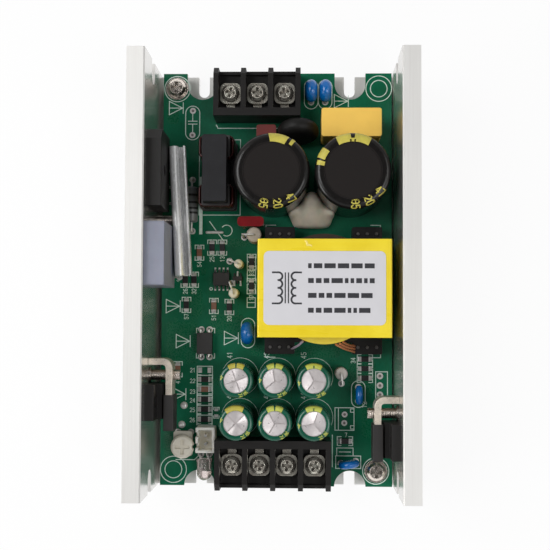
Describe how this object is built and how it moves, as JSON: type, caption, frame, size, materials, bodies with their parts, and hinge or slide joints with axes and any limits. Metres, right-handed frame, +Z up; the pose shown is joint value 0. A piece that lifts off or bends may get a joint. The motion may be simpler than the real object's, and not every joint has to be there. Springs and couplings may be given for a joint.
{
  "type": "open-frame power supply",
  "caption": "Open-frame switching power supply: green circuit board with transformer, capacitors and screw terminals in a thick aluminium channel.",
  "frame": {"origin": "centre of the channel's underside", "axes": "+Y to the mains input end, +X to the right seen from above with the input end away, +Z up out of the channel"},
  "size_m": [0.083, 0.128, 0.04],
  "materials": {
    "adhesive": "set silicone",
    "aluminium_channel": "fine satin extrusion",
    "black_coating": "dipped coating",
    "black_epoxy": "moulded epoxy",
    "black_plastic": "moulded",
    "black_rubber": "soft sleeve",
    "black_sleeve": "shrunk sleeve",
    "blue_coating": "dipped epoxy",
    "board": "green solder mask",
    "bright_steel": "bright rolled sheet",
    "can": "drawn can",
    "chip": "chip body with tinned ends",
    "clamp_steel": "warm zinc plate",
    "clear_resin": "water-clear lens",
    "copper": "enamelled copper",
    "ferrite": "sintered ferrite",
    "fuse_case": "moulded case",
    "green_sleeve": "shrunk sleeve",
    "grey_silicone": "moulded silicone",
    "ivory_plastic": "moulded nylon",
    "nickel": "nickel plate",
    "paper_label": "satin paper",
    "red_coating": "dipped epoxy",
    "red_enamel": "enamelled wire",
    "resistor_coating": "lacquer",
    "steel": "bright zinc",
    "trimmer_case": "carbon board and tinned lugs",
    "yellow_box": "moulded box",
    "yellow_tape": "polyester tape"
  },
  "bodies": {
    "supply": {"chassis_channel": "aluminium_channel", "circuit_board": "board", "board_posts": "steel", "board_screws": "steel", "board_washers": "steel", "input_terminal_block": "black_plastic", "output_terminal_block": "black_plastic", "input_contacts": "nickel", "output_contacts": "nickel", "clamp_plates": "nickel", "terminal_screws": "nickel", "line_fuse": "fuse_case", "inrush_thermistor": "black_coating", "box_capacitor": "yellow_box", "choke_core": "ferrite", "choke_bobbin": "black_plastic", "choke_windings": "red_enamel", "line_disc_capacitors": "blue_coating", "disc_capacitors": "blue_coating", "bulk_capacitor_1": "can", "bulk_capacitor_2": "can", "bulk_sleeve_1": "black_sleeve", "bulk_sleeve_2": "black_sleeve", "fixing_adhesive": "adhesive", "bridge_rectifier": "black_epoxy", "switching_transistor": "black_epoxy", "silicone_cap": "grey_silicone", "clamp_bar": "bright_steel", "clamp_bar_screw": "steel", "left_rectifier": "black_epoxy", "right_rectifier": "black_epoxy", "left_clamp": "clamp_steel", "right_clamp": "clamp_steel", "clamp_boots": "black_rubber", "clamp_screws": "steel", "clamp_washers": "steel", "axial_diode": "black_epoxy", "film_capacitor": "red_coating", "standing_resistors": "resistor_coating", "transformer_core": "ferrite", "transformer_bobbin": "black_plastic", "transformer_pins": "nickel", "transformer_winding": "yellow_tape", "transformer_tape": "yellow_tape", "transformer_label": "paper_label", "transformer_wires": "copper", "output_capacitor_1": "can", "output_capacitor_2": "can", "output_capacitor_3": "can", "output_capacitor_4": "can", "output_capacitor_5": "can", "output_capacitor_6": "can", "output_sleeves": "green_sleeve", "surface_chips": "chip", "controller_chip": "black_epoxy", "optocoupler": "black_epoxy", "trimmer_base": "trimmer_case", "signal_header": "ivory_plastic", "indicator_led": "clear_resin"},
    "trimmer": {"trimmer_rotor": "ivory_plastic"}
  },
  "joints": [
    {"name": "trimmer_turn", "type": "hinge", "parent": "supply", "child": "trimmer", "pos_m": [-0.0278, -0.0515, 0.0126], "axis": [0, 0, 1], "range_deg": [-105, 105]}
  ]
}
